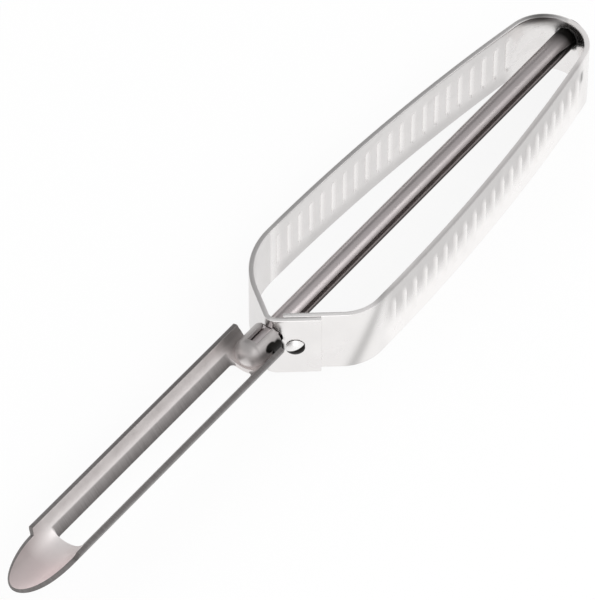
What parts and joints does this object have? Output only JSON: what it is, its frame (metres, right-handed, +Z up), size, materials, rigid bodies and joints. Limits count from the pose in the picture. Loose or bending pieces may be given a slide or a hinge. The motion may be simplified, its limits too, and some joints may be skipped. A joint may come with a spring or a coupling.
{
  "type": "vegetable peeler",
  "caption": "All-steel vegetable peeler: a ribbed strip bent into a loop handle, and a slotted trough blade with a spoon tip that swivels on a rolled shaft.",
  "frame": {"origin": "on the surface that the handle's lower edge rests on, below the shaft's axis, midway between the blade's tip and the shaft's rear end", "axes": "+X from the blade's tip towards the handle's rear bow, along the shaft; +Y to the side of the handle's left front plate; +Z up, out of the trough's open side"},
  "size_m": [0.174, 0.0284, 0.0132],
  "materials": {
    "handle_steel": "bright plated",
    "rivet_steel": "bright plated",
    "shaft_steel": "satin, drawn along its length",
    "blade_steel": "dull, ground at the cutting edges"
  },
  "bodies": {
    "handle": {"handle_band": "handle_steel", "lap_rivet": "rivet_steel"},
    "blade_unit": {"blade_shaft": "shaft_steel", "blade": "blade_steel"}
  },
  "joints": [
    {"name": "blade_swivel", "type": "hinge", "parent": "handle", "child": "blade_unit", "pos_m": [0, 0, 0.009], "axis": [1, 0, 0], "continuous": true}
  ]
}
